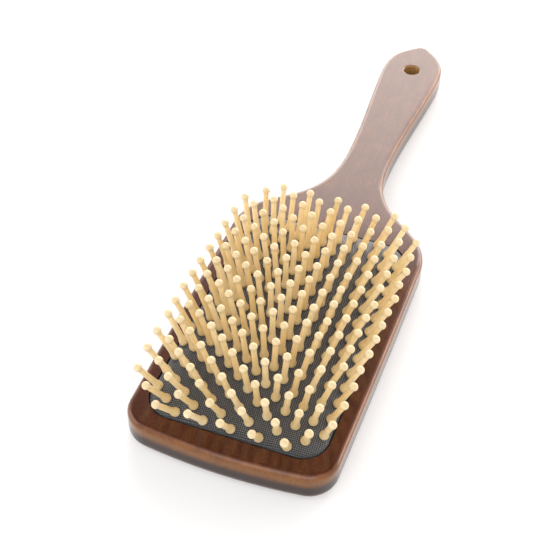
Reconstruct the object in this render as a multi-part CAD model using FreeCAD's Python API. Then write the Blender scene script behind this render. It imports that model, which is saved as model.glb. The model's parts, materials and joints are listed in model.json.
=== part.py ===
"""Paddle brush with a wooden body and wooden pins set in an air cushion.

Frame: origin under the middle of the brush on its flat back, +Z towards the pin
tips, +Y along the handle towards its pointed end, X across the head. Millimetres.
"""

import FreeCAD
import Part

import math
import os

# ---- wooden body -------------------------------------------------------------
LENGTH = 246.0  # head end to handle tip
BOARD = 12.0  # thickness of the board
TOP_EDGE_R = 2.0  # roundover between the face and the side
BACK_EDGE_R = 3.8  # larger roundover between the side and the back
HEAD_END_Y = -LENGTH / 2
TIP_Y = LENGTH / 2
TIP_SOFTENING_R = 4.2  # rounds off the very point
# The right half of the plan: each arc leaves the last one in line and ends at its point.
PLAN_POINTS = [
    (27.2, HEAD_END_Y + 1.8),  # bowed head end
    (36.1, HEAD_END_Y + 11.8),  # its corner
    (36.8, -18.0),  # head's side
    (30.0, -2.6),  # shoulder
    (22.0, 4.3),
    (10.2, 24.0),  # hollow into the neck
    (8.9, 38.0),
    (10.1, 64.0),  # grip, widening
    (12.5, 94.0),
    (12.6, 104.5),
    (11.0, 111.3),  # turning to the tip
    (7.6, 116.4),
    (0.0, TIP_Y),
]

HANG_HOLE_R = 3.4
HANG_HOLE_Y = TIP_Y - 21.2
HANG_HOLE_EDGE_R = 0.6

# ---- pocket for the cushion ----------------------------------------------------
POCKET_X = 30.9  # half width
POCKET_Y = 52.0  # half length
POCKET_CORNER_R = 9.3
POCKET_MIDDLE_Y = HEAD_END_Y + 60.0
POCKET_FLOOR = 4.5
GROOVE_DEPTH = 1.8  # undercut beyond the pocket's wall
GROOVE_LOW = BOARD - 3.4
GROOVE_HIGH = BOARD - 1.2

# ---- cushion --------------------------------------------------------------------
CUSHION_GAP = 0.3  # between the cushion's side and the pocket's wall
CUSHION_EDGE = BOARD - 1.0  # height where the dome springs from the wall
DOME_RISE = 5.0
RUBBER = 1.6  # thickness of the rubber skin
SKIRT = 1.5  # thickness of its upright side
FACING = 0.4  # woven cloth bonded on the rubber
BEAD_DEPTH = 1.5  # rim that sits in the groove
BEAD_LOW = GROOVE_LOW + 0.2
BEAD_HIGH = GROOVE_HIGH - 0.2
DOME_STEPS = [0, 0.2, 0.6, 1.3, 2.4, 4, 6.5, 10, 14.5, 20, 26]  # inward from the rim
CROWN_FLAT = 2.0  # least straight half width left in a ring

# ---- pins -----------------------------------------------------------------------
COLUMNS = 13
COLUMN_PITCH = 4.69
ROW_PITCH = 7.4
EDGE_ROW_PITCH = 6.7  # the two outermost columns are set closer
FIELD_MIDDLE_Y = HEAD_END_Y + 58.8
FIELD_HALF_LENGTH = 47.0
EVEN_COLUMN_PINS = 14
ODD_COLUMN_PINS = 13
BALL_R = 1.45
SHAFT_R = 1.0
FOOT_R = 1.6
FOOT_TO_BALL = 13.2
FOOT_LIFT = 1.2  # the foot's middle above the rubber, along the pin
FOOT_GAP = 0.3  # between the foot and the rubber, at the neck
SEAT_RISE = 0.4  # the foot is coned underneath, to clear a sloping skin
NECK_R = 0.7
BUTTON_R = 1.15
BUTTON_THICKNESS = 0.9
BUTTON_GAP = 0.75  # between the button and the rubber's underside
SEAT_Z = FOOT_GAP - FOOT_LIFT  # the foot's lowest point, along the pin from the foot's middle
BUTTON_TOP = -FOOT_LIFT - RUBBER - BUTTON_GAP
RUNNING_GAP = 0.08  # round the neck and the foot
SIDE_LEAN = 0.87  # degrees outward for each millimetre from the middle column
CORNER_EASING = 0.3  # share of the side lean lost towards the field's ends
HEAD_LEAN = 31.0  # degrees outward at the head end of the field
HANDLE_LEAN = 22.0  # and at its handle end
SWAY = 2.0  # degrees that every pin leans towards +X
SWAY_GROWTH = 5.0  # degrees more of it at the handle end, and less at the head end
LEAN_SCATTER = 1.6  # degrees, hand-set pins are never quite in line

UP = FreeCAD.Vector(0, 0, 1)


def vec(x, y, z=0.0):
    return FreeCAD.Vector(x, y, z)


def leaving_arc(start, heading, end):
    """An arc that leaves start along heading and ends at end, and its heading there."""
    chord = math.atan2(end[1] - start[1], end[0] - start[0])
    half_turn = chord - heading
    length = math.dist(start, end)
    sag = length / 2 * math.tan(half_turn / 2)
    middle = (
        (start[0] + end[0]) / 2 + sag * math.sin(chord),
        (start[1] + end[1]) / 2 - sag * math.cos(chord),
    )
    edge = Part.Arc(vec(*start), vec(*middle), vec(*end)).toShape()
    return edge, chord + half_turn


# ---- wooden body -------------------------------------------------------------


def board_outline():
    """The board's plan as arcs in line with each other, with a point at the tip."""
    place = (0.0, HEAD_END_Y)
    heading = 0.0
    half = []
    for point in PLAN_POINTS:
        edge, heading = leaving_arc(place, heading, point)
        half.append(edge)
        place = point
    other_half = [edge.mirror(vec(0, 0), vec(1, 0, 0)) for edge in half]
    return Part.Wire(Part.__sortEdges__(half + other_half))


def upright_edges_at(solid, x, y, tolerance=0.05):
    """Vertical edges of the solid that stand at (x, y)."""
    found = []
    for edge in solid.Edges:
        box = edge.BoundBox
        upright = box.XLength < tolerance and box.YLength < tolerance
        if upright and abs(box.Center.x - x) < tolerance and abs(box.Center.y - y) < tolerance:
            found.append(edge)
    return found


def flat_edges_at(solid, z, tolerance=0.01):
    """Edges of the solid that lie flat at height z."""
    found = []
    for edge in solid.Edges:
        box = edge.BoundBox
        if abs(box.ZMin - z) < tolerance and abs(box.ZMax - z) < tolerance:
            found.append(edge)
    return found


def rounded_rectangle(half_x, half_y, radius, z):
    """A closed wire of four sides and four quarter arcs, round (0, POCKET_MIDDLE_Y)."""
    edges = []
    corners = [(1, -1, -90), (1, 1, 0), (-1, 1, 90), (-1, -1, 180)]
    middles = [
        vec(sx * (half_x - radius), POCKET_MIDDLE_Y + sy * (half_y - radius), z)
        for sx, sy, _ in corners
    ]
    for index, (_, _, first) in enumerate(corners):
        middle = middles[index]
        ring = Part.Circle(middle, UP, radius)
        bend = Part.Arc(ring, math.radians(first), math.radians(first + 90)).toShape()
        following = middles[(index + 1) % 4]
        angle = math.radians(first + 90)
        reach = vec(radius * math.cos(angle), radius * math.sin(angle))
        edges += [bend, Part.LineSegment(middle + reach, following + reach).toShape()]
    return Part.Wire(edges)


def rounded_block(half_x, half_y, radius, low, high):
    face = Part.Face(rounded_rectangle(half_x, half_y, radius, low))
    return face.extrude(vec(0, 0, high - low))


def make_wooden_body():
    board = Part.Face(board_outline()).extrude(vec(0, 0, BOARD))
    board = board.makeFillet(TIP_SOFTENING_R, upright_edges_at(board, 0, TIP_Y))
    board = board.makeFillet(BACK_EDGE_R, flat_edges_at(board, 0))
    board = board.makeFillet(TOP_EDGE_R, flat_edges_at(board, BOARD))
    hole = Part.makeCylinder(HANG_HOLE_R, BOARD + 2, vec(0, HANG_HOLE_Y, -1))
    board = board.cut(hole)
    rims = [
        edge
        for z in (0, BOARD)
        for edge in flat_edges_at(board, z)
        if abs(edge.BoundBox.Center.y - HANG_HOLE_Y) < 0.5 and edge.BoundBox.XLength < 8
    ]
    board = board.makeFillet(HANG_HOLE_EDGE_R, rims)
    pocket = rounded_block(POCKET_X, POCKET_Y, POCKET_CORNER_R, POCKET_FLOOR, BOARD + 1)
    groove = rounded_block(
        POCKET_X + GROOVE_DEPTH,
        POCKET_Y + GROOVE_DEPTH,
        POCKET_CORNER_R + GROOVE_DEPTH,
        GROOVE_LOW,
        GROOVE_HIGH,
    )
    return board.cut(pocket.fuse(groove))


# ---- cushion --------------------------------------------------------------------

RIM_X = POCKET_X - CUSHION_GAP
RIM_Y = POCKET_Y - CUSHION_GAP
RIM_R = POCKET_CORNER_R - CUSHION_GAP


def ring_sizes(inset):
    """Half sizes and corner radius of the dome's level ring at that inset from the rim."""
    half_x = RIM_X - inset
    half_y = RIM_Y - inset
    radius = min(RIM_R + 0.45 * inset, half_x - CROWN_FLAT)
    return half_x, half_y, radius


def ring_height(inset):
    """Height of that ring above the dome's edge: a quarter of an ellipse."""
    share = 1 - min(inset, RIM_X) / RIM_X
    return DOME_RISE * math.sqrt(1 - share * share)


def dome(lift, low):
    """A closed dome with an upright side, lift above the rubber's face, that goes down to low."""
    base = CUSHION_EDGE + lift
    rings = []
    for inset in DOME_STEPS:
        half_x, half_y, radius = ring_sizes(inset)
        rings.append(rounded_rectangle(half_x, half_y, radius, base + ring_height(inset)))
    cap = Part.makeLoft(rings, True, True)
    side = rounded_block(RIM_X, RIM_Y, RIM_R, low, base)
    return side.fuse(cap).removeSplitter()


def dome_height(x, y):
    """Height of the rubber's face above (x, y), found by halving the inset."""
    outer = 0.0
    inner = RIM_X
    for _ in range(40):
        inset = (outer + inner) / 2
        half_x, half_y, radius = ring_sizes(min(inset, DOME_STEPS[-1]))
        over_x = abs(x) - (half_x - radius)
        over_y = abs(y - POCKET_MIDDLE_Y) - (half_y - radius)
        outside = math.hypot(max(over_x, 0), max(over_y, 0)) > radius
        if outside or over_x > radius or over_y > radius:
            inner = inset
        else:
            outer = inset
    return CUSHION_EDGE + ring_height(outer)


# ---- pins -----------------------------------------------------------------------


def column_pins(column):
    """(x, y) of each pin in a column; columns count from the middle one."""
    x = column * COLUMN_PITCH
    if abs(column) == COLUMNS // 2:
        count, pitch = ODD_COLUMN_PINS, EDGE_ROW_PITCH
    elif column % 2:
        count, pitch = ODD_COLUMN_PINS, ROW_PITCH
    else:
        count, pitch = EVEN_COLUMN_PINS, ROW_PITCH
    first = FIELD_MIDDLE_Y - pitch * (count - 1) / 2
    return [(x, first + pitch * row) for row in range(count)]


def scatter(x, y, turn):
    """A small repeatable lean, in degrees, that differs from pin to pin."""
    wave = math.sin(12.9 * x + 7.3 * y + turn) * 437.5
    return LEAN_SCATTER * (2 * (wave - math.floor(wave)) - 1)


def pin_direction(x, y):
    """Unit vector along a pin: near upright in the middle, leaning outward to the edges."""
    along = (y - FIELD_MIDDLE_Y) / FIELD_HALF_LENGTH
    side = SIDE_LEAN * x * (1 - CORNER_EASING * along**2) + SWAY + SWAY_GROWTH * along
    end = HANDLE_LEAN * along**3 if along > 0 else -HEAD_LEAN * along**2 * abs(along) ** 0.7
    side += scatter(x, y, 0.0)
    end += scatter(x, y, 2.0)
    direction = vec(math.tan(math.radians(side)), math.tan(math.radians(end)), 1.0)
    return direction.normalize()


def pin_foot(x, y):
    """Middle of a pin's rounded foot."""
    return vec(x, y, dome_height(x, y)) + pin_direction(x, y) * FOOT_LIFT


def placed(shape, x, y):
    """A copy of a shape built along +Z, set at a pin's foot along the pin."""
    copy = shape.copy()
    turn = FreeCAD.Rotation(UP, pin_direction(x, y))
    copy.Placement = FreeCAD.Placement(pin_foot(x, y), turn)
    return copy


def make_pin():
    """One turned pin about +Z, with its foot's middle at the origin."""
    button_low = BUTTON_TOP - BUTTON_THICKNESS
    seat_edge = SEAT_Z + SEAT_RISE
    seat_r = math.sqrt(FOOT_R**2 - seat_edge**2)
    seat_turn = math.asin(-seat_edge / FOOT_R) / 2
    ball_drop = math.sqrt(BALL_R**2 - (SHAFT_R - 0.08) ** 2)
    ball_base = FOOT_TO_BALL - ball_drop

    def at(r, z):
        return vec(r, 0, z)

    flare = Part.BezierCurve()
    flare.setPoles([at(FOOT_R, 0), at(FOOT_R, 1.25), at(SHAFT_R, 1.5), at(SHAFT_R, 3.6)])
    edges = [
        Part.LineSegment(at(0, button_low), at(BUTTON_R, button_low)),
        Part.LineSegment(at(BUTTON_R, button_low), at(BUTTON_R, BUTTON_TOP)),
        Part.LineSegment(at(BUTTON_R, BUTTON_TOP), at(NECK_R, BUTTON_TOP)),
        Part.LineSegment(at(NECK_R, BUTTON_TOP), at(NECK_R, SEAT_Z)),
        Part.LineSegment(at(NECK_R, SEAT_Z), at(seat_r, seat_edge)),
        Part.Arc(
            at(seat_r, seat_edge),
            at(FOOT_R * math.cos(seat_turn), -FOOT_R * math.sin(seat_turn)),
            at(FOOT_R, 0),
        ),
        flare,
        Part.LineSegment(at(SHAFT_R, 3.6), at(SHAFT_R - 0.08, ball_base)),
        Part.Arc(
            at(SHAFT_R - 0.08, ball_base),
            at(BALL_R, FOOT_TO_BALL),
            at(0, FOOT_TO_BALL + BALL_R),
        ),
        Part.LineSegment(at(0, FOOT_TO_BALL + BALL_R), at(0, button_low)),
    ]
    profile = Part.Wire([edge.toShape() for edge in edges])
    return Part.Face(profile).revolve(vec(0, 0), UP, 360)


def pierced(skin, radius, low, high):
    """The skin with a straight hole for every pin, from low to high along the pin."""
    drill = Part.makeCylinder(radius, high - low, vec(0, 0, low))
    for column in column_numbers():
        skin = skin.cut([placed(drill, x, y) for x, y in column_pins(column)])
    return skin


def column_numbers():
    half = COLUMNS // 2
    return range(-half, half + 1)


def make_cushion():
    """The rubber skin with its bead, and the woven facing on top of it."""
    face = dome(0.0, BEAD_LOW)
    hollow = rounded_block(
        RIM_X - SKIRT, RIM_Y - SKIRT, RIM_R - SKIRT, BEAD_LOW - 1, CUSHION_EDGE + DOME_RISE
    )
    inside = dome(-RUBBER, BEAD_LOW - 1).common(hollow)
    bead = rounded_block(
        POCKET_X + BEAD_DEPTH,
        POCKET_Y + BEAD_DEPTH,
        POCKET_CORNER_R + BEAD_DEPTH,
        BEAD_LOW,
        BEAD_HIGH,
    )
    rubber = face.fuse(bead).cut(inside)
    facing = dome(FACING, CUSHION_EDGE - 0.5).cut(face)
    rubber = pierced(rubber, NECK_R + RUNNING_GAP, 2 * BUTTON_TOP, 0.0)
    facing = pierced(facing, FOOT_R + RUNNING_GAP, BUTTON_TOP, FOOT_R)
    return rubber, facing


def make_pin_nodes():
    """Each column of pins in two halves, the head half and the handle half."""
    pin = make_pin()
    nodes = {}
    for number, column in enumerate(column_numbers(), start=1):
        pins = column_pins(column)
        halves = {
            "head": [place for place in pins if place[1] < FIELD_MIDDLE_Y],
            "handle": [place for place in pins if place[1] >= FIELD_MIDDLE_Y],
        }
        for half, places in halves.items():
            solids = [placed(pin, x, y) for x, y in places]
            nodes[f"pin_column_{number:02d}_{half}_half"] = Part.makeCompound(solids)
    return nodes


def main():
    os.makedirs("parts", exist_ok=True)
    rubber, facing = make_cushion()
    nodes = {
        "wooden_body": make_wooden_body(),
        "rubber_cushion": rubber,
        "woven_facing": facing,
    }
    nodes.update(make_pin_nodes())
    for name, shape in nodes.items():
        shape.exportStep(f"parts/{name}.step")
        print(name, len(shape.Solids), round(shape.Volume, 1), shape.isValid())


main()
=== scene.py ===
"""The looks of a wooden paddle brush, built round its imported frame.

Everything is in metres and in the frame's own axes: the flat back lies on z = 0, the
pins point along +Z and the handle runs along +Y to its pointed end.
"""

import json
import math
import random

import bmesh
import bpy
import numpy as np
from mathutils import Matrix, Quaternion, Vector
from mathutils.kdtree import KDTree

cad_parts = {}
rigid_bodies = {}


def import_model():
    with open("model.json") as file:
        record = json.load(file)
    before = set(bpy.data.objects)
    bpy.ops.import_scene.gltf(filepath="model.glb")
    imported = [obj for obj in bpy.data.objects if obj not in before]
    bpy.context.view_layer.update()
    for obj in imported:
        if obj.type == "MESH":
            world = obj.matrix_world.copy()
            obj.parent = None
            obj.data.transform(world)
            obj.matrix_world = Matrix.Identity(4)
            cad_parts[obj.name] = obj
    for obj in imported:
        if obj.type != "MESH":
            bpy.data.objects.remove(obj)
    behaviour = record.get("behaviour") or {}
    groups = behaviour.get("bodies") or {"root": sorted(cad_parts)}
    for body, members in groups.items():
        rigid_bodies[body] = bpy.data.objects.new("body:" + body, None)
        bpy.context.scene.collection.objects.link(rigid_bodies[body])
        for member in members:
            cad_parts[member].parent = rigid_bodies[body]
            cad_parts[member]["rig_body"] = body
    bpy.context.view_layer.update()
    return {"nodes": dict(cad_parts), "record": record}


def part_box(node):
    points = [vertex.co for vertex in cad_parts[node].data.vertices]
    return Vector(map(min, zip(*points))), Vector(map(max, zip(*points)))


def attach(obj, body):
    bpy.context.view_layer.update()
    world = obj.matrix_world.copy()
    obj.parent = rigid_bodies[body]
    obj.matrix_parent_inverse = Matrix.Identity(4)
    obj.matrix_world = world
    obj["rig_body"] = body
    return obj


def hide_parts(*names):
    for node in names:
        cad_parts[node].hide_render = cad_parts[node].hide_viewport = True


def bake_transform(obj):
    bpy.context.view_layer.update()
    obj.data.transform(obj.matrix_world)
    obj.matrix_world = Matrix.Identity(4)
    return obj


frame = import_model()

MM = 0.001
Z_AXIS = Vector((0, 0, 1))
PIN_NODES = sorted(name for name in frame["nodes"] if name.startswith("pin_column"))

# ---- camera and studio -----------------------------------------------------------
CAMERA_AIM = Vector((-10.3, -42.0, 12.0)) * MM
CAMERA_AZIMUTH = 19.30
CAMERA_ELEVATION = 44.80
CAMERA_ROLL = 1.33
CAMERA_DISTANCE = 0.4140
CAMERA_LENS = 74.42
TENT_STRENGTH = 1.0
TENT_FRONT = 1.1
TENT_TURN = (-0.25, 0.15)  # the front's even white gives way to TENT between these
TENT = (  # sine of the elevation, brightness
    (0.00, 0.90),
    (0.50, 1.00),
    (0.68, 0.70),
    (0.80, 0.10),
    (0.92, 0.10),
    (0.97, 0.30),
    (1.00, 0.35),
)

# ---- pins, in millimetres ----------------------------------------------------------
BALL_R = 1.45
SHAFT_R = 1.04
SHAFT_TOP_R = 0.97
FOOT_R = 1.60
FOOT_TO_BALL = 13.2
FLARE_TOP = 3.9
NECK_R = 0.70
BUTTON_R = 1.15
BUTTON_THICKNESS = 0.9
PIN_SIDES = 24
PIN_STRIDE = 100.0  # each pin's grain is taken this many millimetres further on

# ---- cushion, in millimetres --------------------------------------------------------
DOME_RISE = 5.0
RIM_CORNER_R = 9.0
CORNER_GROWTH = 0.45
CROWN_FLAT = 2.0
FACING = 0.4
RUBBER = 1.6
POCKET_GAP = 0.3
DIMPLE_DEPTH = 0.30
DIMPLE_R = 2.1
CLOTH_RINGS = 88
CLOTH_COUNTS = (34, 210, 110)  # steps round a corner, along a long and a short side
SKIN_RINGS = 36
SKIN_COUNTS = (14, 70, 40)
SKIN_WALL = 1.5

# ---- finishes, in millimetres and degrees -------------------------------------------
GRAIN_WANDER = 9.0
EDGE_HIGHLIGHT = (9.5, 11.0)  # heights over which the painted highlight on the upper edge sets in
SIDE_SHADE = (5.8, 9.0)  # heights over which the painted shade on the lower sides fades out
WEAVE_PITCH = 0.66
WEAVE_TURN = 4.0
CLOTH_RIM_SHADE = (0.3, 2.9)  # heights over the cushion's edge over which the painted shade at the rim fades out

facing_low, facing_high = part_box("woven_facing")
rubber_low, rubber_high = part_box("rubber_cushion")
RIM_X = (facing_high.x - facing_low.x) / 2 / MM
RIM_Y = (facing_high.y - facing_low.y) / 2 / MM
CUSHION_Y = (facing_high.y + facing_low.y) / 2 / MM
CUSHION_EDGE = facing_low.z / MM
POCKET_X = RIM_X + POCKET_GAP
POCKET_Y = RIM_Y + POCKET_GAP
POCKET_CORNER_R = RIM_CORNER_R + POCKET_GAP


# ---- materials ------------------------------------------------------------------------


class Finish:
    """One node material. Its methods add nodes and give back their output sockets."""

    def __init__(self, name, **constants):
        self.material = bpy.data.materials.new(name)
        self.material.use_nodes = True
        self.tree = self.material.node_tree
        self.shader = self.tree.nodes["Principled BSDF"]
        for socket, value in constants.items():
            self.shader.inputs[socket.replace("_", " ")].default_value = value

    def node(self, kind, inputs=(), **settings):
        made = self.tree.nodes.new(kind)
        for name, value in settings.items():
            setattr(made, name, value)
        for socket, value in dict(inputs).items():
            self.feed(made.inputs[socket], value)
        return made

    def feed(self, socket, value):
        """Links an output into the socket, or sets a plain value there."""
        if isinstance(value, bpy.types.NodeSocket):
            self.tree.links.new(value, socket)
        else:
            socket.default_value = value

    def place(self):
        """Object coordinates in millimetres."""
        metres = self.node("ShaderNodeTexCoord").outputs["Object"]
        return self.scaled(metres, (1 / MM,) * 3)

    def attribute(self, name, output="Vector"):
        return self.node("ShaderNodeAttribute", attribute_name=name).outputs[output]

    def scaled(self, vector, factors):
        inputs = {0: vector, 1: factors}
        return self.node("ShaderNodeVectorMath", inputs, operation="MULTIPLY").outputs[0]

    def shifted(self, vector, other):
        return self.node("ShaderNodeVectorMath", {0: vector, 1: other}, operation="ADD").outputs[0]

    def parts(self, vector):
        return self.node("ShaderNodeSeparateXYZ", {0: vector}).outputs

    def math(self, operation, *values, clamp=False):
        inputs = dict(enumerate(values))
        return self.node("ShaderNodeMath", inputs, operation=operation, use_clamp=clamp).outputs[0]

    def plus(self, first, second):
        return self.math("ADD", first, second)

    def minus(self, first, second):
        return self.math("SUBTRACT", first, second)

    def times(self, first, second):
        return self.math("MULTIPLY", first, second)

    def radius(self, across, along):
        return self.math("SQRT", self.plus(self.times(across, across), self.times(along, along)))

    def excess(self, value, limit):
        """How far the value's size goes past the limit, and zero within it."""
        return self.math("MAXIMUM", self.minus(self.math("ABSOLUTE", value), limit), 0.0)

    def noise(self, vector, scale, detail=3.0, roughness=0.55, distortion=0.0):
        inputs = {
            "Vector": vector,
            "Scale": scale,
            "Detail": detail,
            "Roughness": roughness,
            "Distortion": distortion,
        }
        return self.node("ShaderNodeTexNoise", inputs).outputs["Fac"]

    def fade(self, value, low, high, at_low=0.0, at_high=1.0):
        """A smooth step from at_low to at_high as value goes from low to high."""
        inputs = {0: value, 1: low, 2: high, 3: at_low, 4: at_high}
        step = self.node("ShaderNodeMapRange", inputs, interpolation_type="SMOOTHSTEP")
        return step.outputs[0]

    def ramp(self, value, *stops):
        """A colour ramp; each stop is its position and its colour."""
        node = self.node("ShaderNodeValToRGB", {0: value})
        points = node.color_ramp.elements
        while len(points) < len(stops):
            points.new(1.0)
        for point, (position, colour) in zip(points, stops):
            point.position = position
            point.color = (*colour, 1.0)
        return node.outputs["Color"]

    def blend(self, factor, first, second, mode="MIX"):
        node = self.node("ShaderNodeMix", data_type="RGBA", blend_type=mode)
        for socket, value in ((0, factor), (6, first), (7, second)):
            if isinstance(value, tuple) and len(value) == 3:
                value = (*value, 1.0)
            self.feed(node.inputs[socket], value)
        return node.outputs[2]

    def bump(self, height, strength, depth, below=None):
        """Relief of that depth in millimetres, on top of the relief given as below."""
        inputs = {"Height": height, "Strength": strength, "Distance": depth * MM}
        if below is not None:
            inputs["Normal"] = below
        return self.node("ShaderNodeBump", inputs).outputs[0]

    def finish(self, colour, roughness=None, normal=None):
        self.feed(self.shader.inputs["Base Color"], colour)
        if roughness is not None:
            self.feed(self.shader.inputs["Roughness"], roughness)
        if normal is not None:
            self.feed(self.shader.inputs["Normal"], normal)
            self.feed(self.shader.inputs["Coat Normal"], normal)
        return self.material


def lacquered_wood():
    """Red-brown stain over fine straight grain, under a satin lacquer."""
    look = Finish(
        "walnut_lacquer", Coat_Weight=0.8, Coat_Roughness=0.12, Coat_IOR=1.5, Specular_IOR_Level=0.08
    )
    place = look.place()
    across, along, height = look.parts(place)
    wander = look.noise(look.scaled(place, (0.05, 0.012, 0.05)), 1.0, 2.0)
    sideways = look.node("ShaderNodeCombineXYZ", {0: wander, 2: wander}).outputs[0]
    wandered = look.shifted(place, look.scaled(sideways, (GRAIN_WANDER, 0.0, GRAIN_WANDER)))
    grain = look.noise(look.scaled(wandered, (1.1, 0.035, 1.1)), 1.0, 5.0, 0.62)
    fibre = look.noise(look.scaled(wandered, (5.5, 0.16, 5.5)), 1.0, 3.0, 0.6)
    pores = look.noise(look.scaled(wandered, (4.2, 0.42, 4.2)), 1.0, 2.0, 0.5)
    mottle = look.noise(look.scaled(place, (0.22, 0.10, 0.22)), 1.0, 4.0, 0.6)
    speckle = look.noise(look.scaled(place, (1.9, 0.9, 1.9)), 1.0, 3.0, 0.65)
    tone = look.math("MULTIPLY_ADD", grain, 0.22, look.times(mottle, 0.38))
    tone = look.math("MULTIPLY_ADD", speckle, 0.40, tone)
    colour = look.ramp(
        tone,
        (0.30, (0.034, 0.0080, 0.0030)),
        (0.50, (0.072, 0.0175, 0.0052)),
        (0.70, (0.145, 0.0400, 0.0110)),
    )
    colour = look.blend(look.fade(fibre, 0.40, 0.75, 0.0, 0.12), colour, (0.022, 0.006, 0.003))
    colour = look.blend(look.fade(pores, 0.64, 0.72, 0.0, 0.35), colour, (0.014, 0.005, 0.003))
    # painted highlight: a lighter orange band over the roundovers of the upper edge, patchy with the
    # mottle
    up = look.parts(look.node("ShaderNodeTexCoord").outputs["Normal"])[2]
    leaning = look.times(look.fade(up, 0.03, 0.35), look.fade(up, 0.80, 0.99, 1.0, 0.0))
    edge = look.times(leaning, look.fade(height, *EDGE_HIGHLIGHT))
    edge_highlight = look.times(edge, look.fade(mottle, 0.25, 0.7, 0.20, 0.65))
    colour = look.blend(edge_highlight, colour, (0.260, 0.090, 0.024))
    # painted light and shade on the upright sides: they are painted lighter and more orange than the
    # top face, and painted dark lower down
    upright = look.times(look.fade(up, -0.55, 0.0), look.fade(up, 0.25, 0.75, 1.0, 0.0))
    side = look.ramp(tone, (0.3, (0.110, 0.033, 0.0040)), (0.7, (0.250, 0.092, 0.0085)))
    painted_lower_shade = look.fade(height, *SIDE_SHADE, 1.0, 0.0)
    side = look.blend(painted_lower_shade, side, (0.014, 0.0085, 0.0065))
    colour = look.blend(look.times(upright, 0.85), colour, side)
    # painted shade: the pocket's wall is painted near black
    over_x = look.excess(across, POCKET_X - POCKET_CORNER_R)
    over_y = look.excess(look.minus(along, CUSHION_Y), POCKET_Y - POCKET_CORNER_R)
    from_corner = look.radius(over_x, over_y)
    wall = POCKET_CORNER_R + 0.02
    pocket_shade = look.fade(from_corner, wall, wall + 0.12, 1.0, 0.0)
    colour = look.blend(pocket_shade, colour, (0.0060, 0.0035, 0.0025))
    # bare wood inside the hanging hole
    hole = frame["record"]["mounts"][0]
    bore_r = hole["dims"]["r_mm"]
    from_axis = look.radius(across, look.minus(along, hole["pos_m"][1] / MM))
    in_bore = look.fade(from_axis, bore_r + 0.1, bore_r + 0.5, 1.0, 0.0)
    bare = look.ramp(grain, (0.3, (0.23, 0.115, 0.035)), (0.7, (0.46, 0.27, 0.10)))
    colour = look.blend(in_bore, colour, bare)
    rough = look.fade(fibre, 0.2, 0.8, 0.30, 0.46)
    orange_peel = look.noise(place, 0.55, 2.0)
    relief = look.bump(orange_peel, 0.12, 0.10)
    relief = look.bump(fibre, 0.10, 0.05, relief)
    relief = look.bump(pores, 0.16, 0.05, relief)
    return look.finish(colour, rough, relief)


def turned_beech():
    """Pale bare wood of the pins, with grain along each pin and its own tone."""
    look = Finish(
        "turned_beech", Specular_IOR_Level=0.42, Subsurface_Weight=0.12, Subsurface_Scale=0.0006
    )
    look.shader.inputs["Subsurface Radius"].default_value = (1.0, 0.55, 0.25)
    place = look.attribute("pin_place")
    tone = look.attribute("pin_tone", "Fac")
    grain = look.noise(look.scaled(place, (1.6, 0.11, 1.6)), 1.0, 4.0, 0.6)
    fibre = look.noise(look.scaled(place, (9.0, 0.45, 9.0)), 1.0, 2.0, 0.5)
    colour = look.ramp(
        look.math("MULTIPLY_ADD", grain, 0.6, look.times(tone, 0.4)),
        (0.25, (0.74, 0.55, 0.26)),
        (0.50, (0.82, 0.65, 0.36)),
        (0.78, (0.88, 0.74, 0.47)),
    )
    colour = look.blend(look.fade(fibre, 0.56, 0.72, 0.0, 0.30), colour, (0.50, 0.30, 0.12))
    specks = look.noise(look.scaled(place, (2.6, 1.5, 2.6)), 1.0, 1.0)
    colour = look.blend(look.fade(specks, 0.80, 0.83, 0.0, 0.75), colour, (0.16, 0.07, 0.025))
    # the balls take a duller, greyer tone than the shafts
    share = look.math("FRACT", look.math("DIVIDE", look.parts(place)[1], PIN_STRIDE))
    ball_tone = look.fade(share, 10.5 / PIN_STRIDE, 13.0 / PIN_STRIDE, 0.0, 0.6)
    colour = look.blend(ball_tone, colour, (0.64, 0.53, 0.345))
    relief = look.bump(fibre, 0.25, 0.04)
    return look.finish(colour, look.fade(grain, 0.2, 0.8, 0.34, 0.52), relief)


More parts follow.
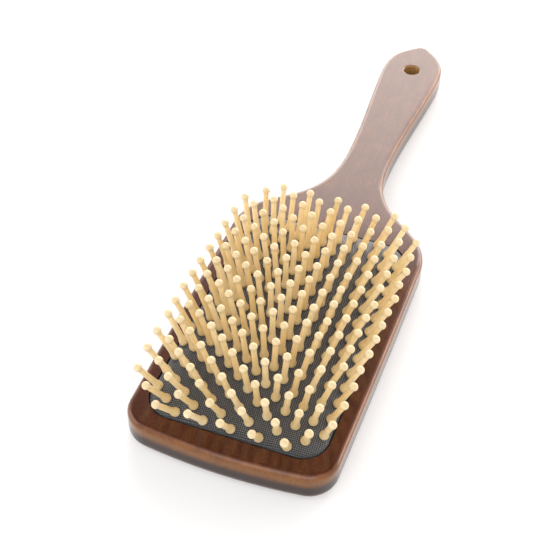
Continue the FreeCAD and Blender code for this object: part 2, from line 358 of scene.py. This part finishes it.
def woven_cloth():
    """Charcoal plain weave bonded on the rubber."""
    look = Finish("woven_cloth", Specular_IOR_Level=0.70, Sheen_Weight=0.10, Sheen_Roughness=0.45)
    place = look.place()
    drift = look.noise(look.scaled(place, (0.12,) * 3), 1.0, 2.0)
    across, along, height = look.parts(place)
    # u and v count the threads; each crossing shows the warp or the weft in turn
    straight = math.cos(math.radians(WEAVE_TURN)) / WEAVE_PITCH
    slant = math.sin(math.radians(WEAVE_TURN)) / WEAVE_PITCH
    u = look.plus(look.times(across, straight), look.times(along, slant))
    v = look.minus(look.times(along, straight), look.times(across, slant))
    u = look.plus(u, look.times(drift, 1.3))
    v = look.minus(v, look.times(drift, 1.1))
    cell = look.math("MODULO", look.plus(look.math("FLOOR", u), look.math("FLOOR", v)), 2.0)
    over = look.math("GREATER_THAN", look.math("ABSOLUTE", cell), 0.5)
    arch_u = look.math("SINE", look.times(look.math("FRACT", u), math.pi))
    arch_v = look.math("SINE", look.times(look.math("FRACT", v), math.pi))
    warp = look.times(arch_u, look.math("MULTIPLY_ADD", arch_v, 0.5, 0.5))
    weft = look.times(arch_v, look.math("MULTIPLY_ADD", arch_u, 0.5, 0.5))
    thread = look.plus(look.times(over, warp), look.times(look.minus(1.0, over), weft))
    fuzz = look.noise(place, 7.0, 3.0, 0.6)
    patch = look.noise(place, 0.09, 3.0, 0.6)
    colour = look.ramp(
        thread,
        (0.30, (0.002, 0.002, 0.003)),
        (0.70, (0.040, 0.042, 0.049)),
        (0.95, (0.270, 0.285, 0.315)),
    )
    colour = look.blend(look.fade(fuzz, 0.4, 0.8, 0.0, 0.35), colour, (0.115, 0.118, 0.128))
    colour = look.blend(look.fade(patch, 0.35, 0.7, 0.0, 0.25), colour, (0.014, 0.014, 0.016))
    # painted shade: the cloth is painted near black where it dips into the pocket
    low, high = (CUSHION_EDGE + level for level in CLOTH_RIM_SHADE)
    colour = look.blend(look.fade(height, low, high, 0.97, 0.0), colour, (0.003, 0.003, 0.004))
    relief = look.bump(thread, 0.9, 0.22)
    relief = look.bump(fuzz, 0.35, 0.05, relief)
    return look.finish(colour, look.fade(thread, 0.1, 0.9, 0.70, 0.36), relief)


def moulded_rubber():
    """Matt black rubber of the cushion's skin and bead."""
    look = Finish("moulded_rubber", Specular_IOR_Level=0.35)
    place = look.place()
    cloud = look.noise(place, 0.25, 4.0, 0.6)
    grit = look.noise(place, 5.0, 2.0, 0.5)
    colour = look.ramp(cloud, (0.3, (0.009, 0.009, 0.010)), (0.7, (0.022, 0.022, 0.024)))
    relief = look.bump(grit, 0.3, 0.05)
    return look.finish(colour, look.fade(cloud, 0.3, 0.7, 0.55, 0.75), relief)


def pale_floor():
    look = Finish("pale_floor", Specular_IOR_Level=0.2)
    cloud = look.noise(look.node("ShaderNodeTexCoord").outputs["Object"], 3.0, 2.0)
    colour = look.ramp(cloud, (0.3, (0.71, 0.71, 0.71)), (0.7, (0.74, 0.74, 0.74)))
    look.shader.inputs["Emission Color"].default_value = (1.0, 1.0, 1.0, 1.0)
    look.shader.inputs["Emission Strength"].default_value = 0.22
    return look.finish(colour, 0.6)


# ---- mesh helpers -----------------------------------------------------------------------


def add_piece(name, points, faces, material):
    """A smooth-shaded mesh object; points are in metres."""
    mesh = bpy.data.meshes.new(name)
    mesh.from_pydata([tuple(p) for p in points], [], faces)
    mesh.materials.append(material)
    for polygon in mesh.polygons:
        polygon.use_smooth = True
    mesh.update()
    piece = bpy.data.objects.new(name, mesh)
    bpy.context.scene.collection.objects.link(piece)
    return piece


def band_faces(first, second):
    """Quads that join two closed rings of vertex numbers."""
    count = len(first)
    return [
        (first[i], first[(i + 1) % count], second[(i + 1) % count], second[i])
        for i in range(count)
    ]


# ---- pins ---------------------------------------------------------------------------------


def pin_axes(node):
    """The tip and unit direction of each pin in a CAD node, in reading order."""
    mesh = bmesh.new()
    mesh.from_mesh(frame["nodes"][node].data)
    bmesh.ops.remove_doubles(mesh, verts=mesh.verts, dist=1e-6)
    mesh.verts.ensure_lookup_table()
    seen = [False] * len(mesh.verts)
    found = []
    for start in mesh.verts:
        if seen[start.index]:
            continue
        seen[start.index] = True
        island, waiting = [], [start]
        while waiting:
            vertex = waiting.pop()
            island.append(vertex.co.copy())
            for edge in vertex.link_edges:
                other = edge.other_vert(vertex)
                if not seen[other.index]:
                    seen[other.index] = True
                    waiting.append(other)
        points = np.array(island, float)
        middle = points.mean(axis=0)
        direction = np.linalg.svd(points - middle, full_matrices=False)[2][0]
        direction *= np.sign(direction[2])
        reach = (points - middle) @ direction
        tip = points[reach.argmax()]
        low = points[reach < reach.min() + 0.05 * MM].mean(axis=0)
        found.append((Vector(tip), Vector(tip - low).normalized(), float(np.linalg.norm(tip - low))))
    mesh.free()
    return sorted(found, key=lambda pin: (round(pin[0].y, 4), pin[0].x))


def flare(steps=9):
    """The foot's flare as a cubic curve from its widest place to the shaft."""
    a, b, c, d = (FOOT_R, 0.0), (FOOT_R, 1.3), (SHAFT_R, 1.55), (SHAFT_R, FLARE_TOP)
    for step in range(steps + 1):
        t = step / steps
        weights = ((1 - t) ** 3, 3 * t * (1 - t) ** 2, 3 * t * t * (1 - t), t**3)
        yield tuple(sum(w * p[axis] for w, p in zip(weights, (a, b, c, d))) for axis in (0, 1))


def pin_profile(length, ball_r):
    """(radius, height over the foot's middle) of a pin's rings from button to tip."""
    low = FOOT_TO_BALL + BALL_R - length / MM
    top = low + BUTTON_THICKNESS
    rings = [(BUTTON_R * 0.6, low), (BUTTON_R - 0.12, low), (BUTTON_R, low + 0.12)]
    rings += [(BUTTON_R, top - 0.12), (BUTTON_R - 0.12, top), (NECK_R, top + 0.02)]
    rings += [(NECK_R, -1.2), (NECK_R + 0.12, -1.12)]
    for step in range(1, 7):
        turn = math.radians(-62 + 62 * step / 7)
        rings.append((FOOT_R * math.cos(turn), FOOT_R * 0.86 * math.sin(turn)))
    rings += list(flare())
    shaft_end = FOOT_TO_BALL - ball_r - 0.1
    for share in (0.3, 0.6, 0.85):
        radius = SHAFT_R + (SHAFT_TOP_R - SHAFT_R) * share
        rings.append((radius, FLARE_TOP + (shaft_end - 0.5 - FLARE_TOP) * share))
    start = math.asin((SHAFT_TOP_R + 0.10) / ball_r)
    rings.append((SHAFT_TOP_R, FOOT_TO_BALL - ball_r * math.cos(start) - 0.42))
    rings.append((SHAFT_TOP_R + 0.02, FOOT_TO_BALL - ball_r * math.cos(start) - 0.18))
    for step in range(13):
        turn = start + (math.pi - start) * step / 13
        rings.append((ball_r * math.sin(turn), FOOT_TO_BALL - ball_r * math.cos(turn)))
    return rings


def make_pins(node, number, material, draw):
    """The turned pins of one CAD node as one piece."""
    points, faces, places, tones = [], [], [], []
    for tip, direction, length in pin_axes(node):
        ball_r = BALL_R * draw.uniform(0.965, 1.0)
        tone = draw.random()
        offset = [
            draw.uniform(-50, 50),
            PIN_STRIDE * draw.randrange(1, 60),
            draw.uniform(-50, 50),
        ]
        spin = draw.uniform(0, 2 * math.pi)
        bend = draw.uniform(0.0, 0.16)
        foot = tip - direction * (FOOT_TO_BALL + BALL_R) * MM
        turn = Z_AXIS.rotation_difference(direction).to_matrix() @ Matrix.Rotation(spin, 3, "Z")
        profile = pin_profile(length, ball_r)
        rings = []
        for radius, height in profile:
            share = max(0.0, height / FOOT_TO_BALL)
            sway = bend * share * (share - 1.0) * -4.0 * 0.5
            ring = []
            for side in range(PIN_SIDES):
                angle = 2 * math.pi * side / PIN_SIDES
                local = Vector((radius * math.cos(angle) + sway, radius * math.sin(angle), height))
                ring.append(len(points))
                points.append(foot + turn @ local * MM)
                places.append((local.x + offset[0], local.z + offset[1], local.y + offset[2]))
                tones.append(tone)
            rings.append(ring)
        for first, second in zip(rings, rings[1:]):
            faces += band_faces(first, second)
        for ring, (_, height), shape in ((rings[0], profile[0], -1), (rings[-1], profile[-1], 1)):
            end_height = FOOT_TO_BALL + ball_r if shape > 0 else height
            pole = len(points)
            points.append(foot + turn @ Vector((0, 0, end_height)) * MM)
            places.append((offset[0], end_height + offset[1], offset[2]))
            tones.append(tone)
            for i in range(PIN_SIDES):
                a, b = ring[i], ring[(i + 1) % PIN_SIDES]
                faces.append((a, b, pole) if shape > 0 else (b, a, pole))
    piece = add_piece(f"turned_pins_{number:02d}", points, faces, material)
    place = piece.data.attributes.new("pin_place", "FLOAT_VECTOR", "POINT")
    place.data.foreach_set("vector", np.array(places, np.float32).ravel())
    shade = piece.data.attributes.new("pin_tone", "FLOAT", "POINT")
    shade.data.foreach_set("value", np.array(tones, np.float32))
    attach(piece, frame["nodes"][node]["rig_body"])
    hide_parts(node)
    return piece


# ---- cushion ------------------------------------------------------------------------------


def dome_ring(inset, corner, long_side, short_side):
    """Points round the rounded rectangle at that inset from the cushion's rim."""
    half_x, half_y = RIM_X - inset, RIM_Y - inset
    radius = min(RIM_CORNER_R + CORNER_GROWTH * inset, max(half_x - CROWN_FLAT, 0.56 * half_x))
    ring = []
    corners = (
        (1, -1, -90, long_side),
        (1, 1, 0, short_side),
        (-1, 1, 90, long_side),
        (-1, -1, 180, short_side),
    )
    for index, (sx, sy, first, side_points) in enumerate(corners):
        cx, cy = sx * (half_x - radius), sy * (half_y - radius)
        for step in range(corner + 1):
            angle = math.radians(first + 90 * step / corner)
            ring.append((cx + radius * math.cos(angle), cy + radius * math.sin(angle)))
        nx, ny = corners[(index + 1) % 4][:2]
        fx, fy = nx * (half_x - radius), ny * (half_y - radius)
        end = math.radians(first + 90)
        start_point = ring[-1]
        end_point = (fx + radius * math.cos(end), fy + radius * math.sin(end))
        for step in range(1, side_points):
            share = step / side_points
            ring.append(tuple(p + (q - p) * share for p, q in zip(start_point, end_point)))
    return [(x, y + CUSHION_Y) for x, y in ring]


def dome_surface(rings, lift, seats, counts):
    """Rings of points from the rim to the crown: lift above the skin, dimpled at the seats."""
    surface = []
    for step in range(rings + 1):
        turn = math.pi / 2 * step / rings
        inset = RIM_X * (1 - math.cos(turn))
        level = CUSHION_EDGE + DOME_RISE * math.sin(turn) + lift
        ring = []
        for x, y in dome_ring(inset, *counts):
            sink = 0.0
            for _, _, gap in seats.find_range((x, y, 0.0), 3 * DIMPLE_R):
                sink += DIMPLE_DEPTH * math.exp(-((gap / DIMPLE_R) ** 2) * 1.6)
            ring.append(Vector((x, y, level - min(sink, DIMPLE_DEPTH))))
        surface.append(ring)
    return surface


def closed_shell(name, sections, material):
    """A closed mesh through rings of points that start and end on the crown's line."""
    points, faces, rings = [], [], []
    for section in sections:
        ring = list(range(len(points), len(points) + len(section)))
        points += [point * MM for point in section]
        rings.append(ring)
    for first, second in zip(rings, rings[1:]):
        faces += band_faces(first, second)
    piece = add_piece(name, points, faces, material)
    mesh = bmesh.new()
    mesh.from_mesh(piece.data)
    bmesh.ops.remove_doubles(mesh, verts=mesh.verts, dist=2e-6)
    bmesh.ops.recalc_face_normals(mesh, faces=mesh.faces)
    crown = [e for e in mesh.edges if e.is_boundary]
    if crown:
        bmesh.ops.holes_fill(mesh, edges=crown)
    mesh.to_mesh(piece.data)
    mesh.free()
    return piece


def pin_seats():
    """Where each pin meets the skin, seen from above, in millimetres."""
    places = []
    for node in PIN_NODES:
        for tip, direction, _ in pin_axes(node):
            foot = tip / MM - direction * (FOOT_TO_BALL + BALL_R + 1.0)
            places.append((foot.x, foot.y, 0.0))
    tree = KDTree(len(places))
    for index, place in enumerate(places):
        tree.insert(place, index)
    tree.balance()
    return tree


def make_cushion(cloth, rubber):
    """The cloth facing and the rubber skin under it, dimpled where the pins stand."""
    seats = pin_seats()
    top = dome_surface(CLOTH_RINGS, FACING, seats, CLOTH_COUNTS)
    under = dome_surface(CLOTH_RINGS, 0.03, seats, CLOTH_COUNTS)
    facing = closed_shell("woven_facing_cloth", list(reversed(top)) + under, cloth)
    skin = dome_surface(SKIN_RINGS, 0.0, seats, SKIN_COUNTS)
    inner = dome_surface(SKIN_RINGS, -RUBBER, seats, SKIN_COUNTS)
    wall = [Vector((p.x, p.y, rubber_low.z / MM)) for p in skin[0]]
    wall_in = [p.lerp(Vector((0, CUSHION_Y, p.z)), SKIN_WALL / RIM_X) for p in wall]
    sections = list(reversed(skin)) + [wall, wall_in] + inner[4:]
    skin_shell = closed_shell("rubber_skin", sections, rubber)
    return facing, skin_shell


# ---- studio -------------------------------------------------------------------------------


def add_softbox(name, centre, aim, size, radiance, tint=(1.0, 1.0, 1.0)):
    """A rectangular light; radiance is how bright its face looks."""
    data = bpy.data.lights.new(name, "AREA")
    data.shape = "RECTANGLE"
    data.size, data.size_y = size
    data.energy = radiance * math.pi * size[0] * size[1]
    data.color = tint
    light = bpy.data.objects.new(name, data)
    light.location = centre
    light.rotation_mode = "QUATERNION"
    light.rotation_quaternion = (Vector(aim) - Vector(centre)).to_track_quat("-Z", "Y")
    bpy.context.scene.collection.objects.link(light)


def make_world():
    """A white tent: bright all round, with a dark band high up behind the handle."""
    world = bpy.data.worlds.new("tent")
    bpy.context.scene.world = world
    world.use_nodes = True
    nodes, links = world.node_tree.nodes, world.node_tree.links
    sky = nodes["Background"]
    place = nodes.new("ShaderNodeTexCoord")
    parts = nodes.new("ShaderNodeSeparateXYZ")
    links.new(place.outputs["Generated"], parts.inputs[0])
    height = nodes.new("ShaderNodeValToRGB")
    points = height.color_ramp.elements
    while len(points) < len(TENT):
        points.new(1.0)
    for point, (position, level) in zip(points, TENT):
        point.position = position
        point.color = (level, level, level, 1.0)
    links.new(parts.outputs[2], height.inputs[0])
    behind = nodes.new("ShaderNodeMapRange")
    behind.inputs[1].default_value, behind.inputs[2].default_value = TENT_TURN
    links.new(parts.outputs[1], behind.inputs[0])
    both = nodes.new("ShaderNodeMix")
    both.data_type = "RGBA"
    both.inputs[6].default_value = (TENT_FRONT, TENT_FRONT, TENT_FRONT, 1.0)
    links.new(behind.outputs[0], both.inputs[0])
    links.new(height.outputs[0], both.inputs[7])
    links.new(both.outputs[2], sky.inputs["Color"])
    sky.inputs["Strength"].default_value = TENT_STRENGTH


def make_studio():
    make_world()
    warm = (1.0, 0.90, 0.84)
    add_softbox("front_key", (0.15, -0.90, 0.60), (0, -0.05, 0), (1.0, 0.7), 1.7)
    add_softbox("back_wall", (-0.12, 1.00, 0.48), (-0.10, 0.0, 0.38), (1.5, 0.88), 5.6, warm)
    add_softbox("right_strip", (0.80, 0.66, 0.19), (0, -0.02, 0.02), (0.7, 0.26), 8.0, warm)
    add_softbox("left_fill", (-0.95, -0.30, 0.45), (0, -0.05, 0), (0.8, 0.7), 1.6)
    ground = add_piece(
        "studio_floor",
        [Vector((x, y, 0)) for x, y in ((-4, -4), (4, -4), (4, 4), (-4, 4))],
        [(0, 1, 2, 3)],
        pale_floor(),
    )
    bpy.context.scene.view_settings.view_transform = "Standard"


def make_camera():
    azimuth, elevation = math.radians(CAMERA_AZIMUTH), math.radians(CAMERA_ELEVATION)
    back = Vector(
        (
            math.sin(azimuth) * math.cos(elevation),
            -math.cos(azimuth) * math.cos(elevation),
            math.sin(elevation),
        )
    )
    data = bpy.data.cameras.new("camera")
    data.lens = CAMERA_LENS
    data.clip_start, data.clip_end = 0.01, 20.0
    camera = bpy.data.objects.new("camera", data)
    camera.location = CAMERA_AIM + back * CAMERA_DISTANCE
    camera.rotation_mode = "QUATERNION"
    roll = Quaternion(Z_AXIS, math.radians(CAMERA_ROLL))
    camera.rotation_quaternion = (-back).to_track_quat("-Z", "Y") @ roll
    bpy.context.scene.collection.objects.link(camera)
    bpy.context.scene.camera = camera


# ---- building -------------------------------------------------------------------------------
make_camera()
make_studio()

wood = frame["nodes"]["wooden_body"]
wood.data.materials.clear()
wood.data.materials.append(lacquered_wood())

beech = turned_beech()
draw = random.Random(7)
for number, node in enumerate(PIN_NODES, start=1):
    make_pins(node, number, beech, draw)

facing, skin_shell = make_cushion(woven_cloth(), moulded_rubber())
for piece, node, slot in (
    (facing, "woven_facing", "woven_cloth"),
    (skin_shell, "rubber_cushion", "black_rubber"),
):
    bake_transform(piece)
    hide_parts(node)
